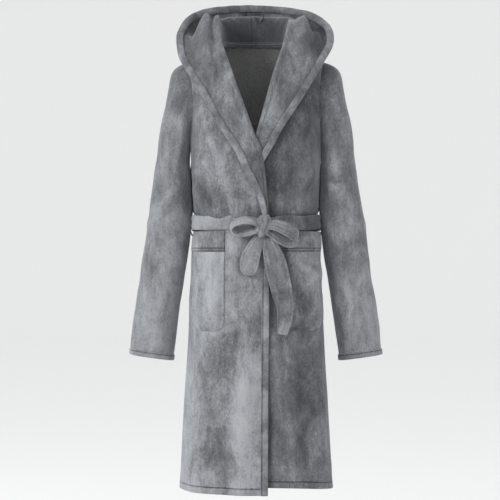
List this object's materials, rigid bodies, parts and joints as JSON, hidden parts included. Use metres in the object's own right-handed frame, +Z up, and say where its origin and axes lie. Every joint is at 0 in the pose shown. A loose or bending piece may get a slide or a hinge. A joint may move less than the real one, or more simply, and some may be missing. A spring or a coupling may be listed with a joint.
{
  "type": "hooded bathrobe",
  "caption": "Knee-length hooded wrap bathrobe of brushed fleece with set-in sleeves, patch pockets, belt keepers and a tie belt in a bow, standing open inside as when worn.",
  "frame": {"origin": "centre of the neck seam, where the robe rests round the wearer's neck and on the shoulders", "axes": "+Z up along the robe, -Y to the wearer's front, +X to the wearer's left"},
  "size_m": [0.604, 0.3035, 1.1775],
  "materials": {
    "robe_cloth": "brushed fleece with a soft nap",
    "band_cloth": "brushed fleece, folded and topstitched",
    "belt_cloth": "brushed fleece, turned tube",
    "seam_tape": "woven tape"
  },
  "bodies": {
    "robe_body": {"back_panel": "robe_cloth", "right_front": "robe_cloth", "left_front": "robe_cloth", "right_lapel": "robe_cloth", "left_lapel": "robe_cloth", "neck_tape": "seam_tape", "belt_band": "belt_cloth", "belt_knot": "belt_cloth", "right_belt_keeper": "seam_tape", "left_belt_keeper": "seam_tape", "right_pocket": "robe_cloth", "right_pocket_band": "band_cloth", "left_pocket": "robe_cloth", "left_pocket_band": "band_cloth"},
    "right_sleeve": {"right_sleeve": "robe_cloth", "right_cuff": "band_cloth"},
    "left_sleeve": {"left_sleeve": "robe_cloth", "left_cuff": "band_cloth"},
    "hood": {"hood_right_half": "robe_cloth", "hood_left_half": "robe_cloth", "hood_band": "band_cloth"},
    "hanging_loop": {"hanging_loop": "seam_tape"},
    "right_flap": {"right_front_flap": "robe_cloth", "right_edge_band": "band_cloth"},
    "left_flap": {"left_front_flap": "robe_cloth", "left_edge_band": "band_cloth"},
    "right_tail": {"belt_right_tail": "belt_cloth"},
    "left_tail": {"belt_left_tail": "belt_cloth"},
    "right_bow": {"belt_right_bow": "belt_cloth"},
    "left_bow": {"belt_left_bow": "belt_cloth"}
  },
  "joints": [
    {"name": "right_sleeve_raise", "type": "hinge", "parent": "robe_body", "child": "right_sleeve", "pos_m": [-0.161, 0, -0.0455], "axis": [0, 1, 0], "range_deg": [0, 70]},
    {"name": "left_sleeve_raise", "type": "hinge", "parent": "robe_body", "child": "left_sleeve", "pos_m": [0.161, 0, -0.0455], "axis": [0, -1, 0], "range_deg": [0, 70]},
    {"name": "hood_lift", "type": "hinge", "parent": "robe_body", "child": "hood", "pos_m": [0, 0, 0.003], "axis": [1, 0, 0], "range_deg": [0, 70]},
    {"name": "hanging_loop_flip", "type": "hinge", "parent": "hood", "child": "hanging_loop", "pos_m": [0.008, 0.073, 0.0525], "axis": [1, 0, 0], "range_deg": [0, 90]},
    {"name": "right_flap_open", "type": "hinge", "parent": "robe_body", "child": "right_flap", "pos_m": [-0.1629, -0.0005, -0.709], "axis": [-0.0555, 0, -0.9985], "range_deg": [0, 45]},
    {"name": "left_flap_open", "type": "hinge", "parent": "robe_body", "child": "left_flap", "pos_m": [0.1629, -0.0005, -0.709], "axis": [-0.0555, 0, 0.9985], "range_deg": [0, 16]},
    {"name": "right_tail_lift", "type": "hinge", "parent": "robe_body", "child": "right_tail", "pos_m": [-0.004, -0.1264, -0.465], "axis": [-1, 0, 0], "range_deg": [0, 60]},
    {"name": "left_tail_lift", "type": "hinge", "parent": "robe_body", "child": "left_tail", "pos_m": [0.035, -0.1264, -0.465], "axis": [-1, 0, 0], "range_deg": [0, 60]},
    {"name": "right_bow_swing", "type": "hinge", "parent": "robe_body", "child": "right_bow", "pos_m": [-0.001, -0.1489, -0.433], "axis": [0, 0, 1], "range_deg": [0, 30]},
    {"name": "left_bow_swing", "type": "hinge", "parent": "robe_body", "child": "left_bow", "pos_m": [0.035, -0.1489, -0.433], "axis": [0, 0, -1], "range_deg": [0, 30]}
  ],
  "couplings": [
    {"joint": "left_flap_open", "follows": "right_flap_open", "ratio": 0.35}
  ]
}
